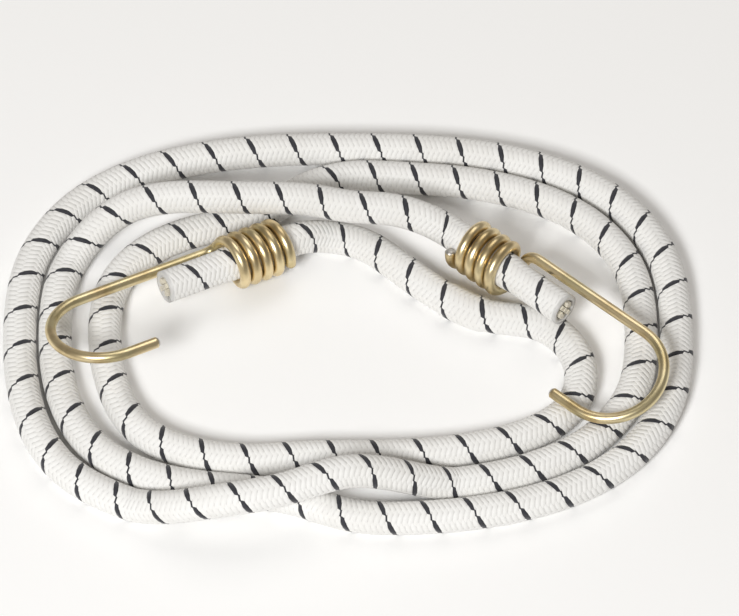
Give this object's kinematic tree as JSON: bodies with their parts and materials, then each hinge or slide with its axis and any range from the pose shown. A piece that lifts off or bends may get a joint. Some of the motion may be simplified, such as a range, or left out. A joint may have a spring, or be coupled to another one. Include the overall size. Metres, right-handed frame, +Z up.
{
  "type": "bungee cord",
  "caption": "Elastic cord with a braided sheath over rubber strands, laid in an oval coil, with an open wire hook wound round each end for tying down loads.",
  "frame": {"origin": "middle of the coil, on the surface that it lies on", "axes": "+X along the coil's length towards the right-hand hook, +Y across it towards the side where the hooks' windings are, +Z up"},
  "size_m": [0.1864, 0.1304, 0.0231],
  "materials": {
    "braid": "tight white yarn braid with one dark tracer yarn in a helix",
    "latex": "matt natural latex",
    "plated_wire": "drawn steel wire with a yellow plating"
  },
  "bodies": {
    "cord": {"braided_sheath": "braid", "rubber_strand_1": "latex", "rubber_strand_2": "latex", "rubber_strand_3": "latex", "rubber_strand_4": "latex", "rubber_strand_5": "latex", "rubber_strand_6": "latex", "rubber_strand_7": "latex"},
    "right_hook_wire": {"right_hook": "plated_wire"},
    "left_hook_wire": {"left_hook": "plated_wire"}
  },
  "joints": [
    {"name": "right_hook_turn", "type": "hinge", "parent": "cord", "child": "right_hook_wire", "pos_m": [0.0378, 0.0186, 0.01145], "axis": [-0.7421, 0.6682, -0.0523], "range_deg": [0, 40]},
    {"name": "left_hook_turn", "type": "hinge", "parent": "cord", "child": "left_hook_wire", "pos_m": [-0.0255, 0.0215, 0.00875], "axis": [0.8681, 0.4812, -0.1219], "range_deg": [-10, 30]}
  ]
}
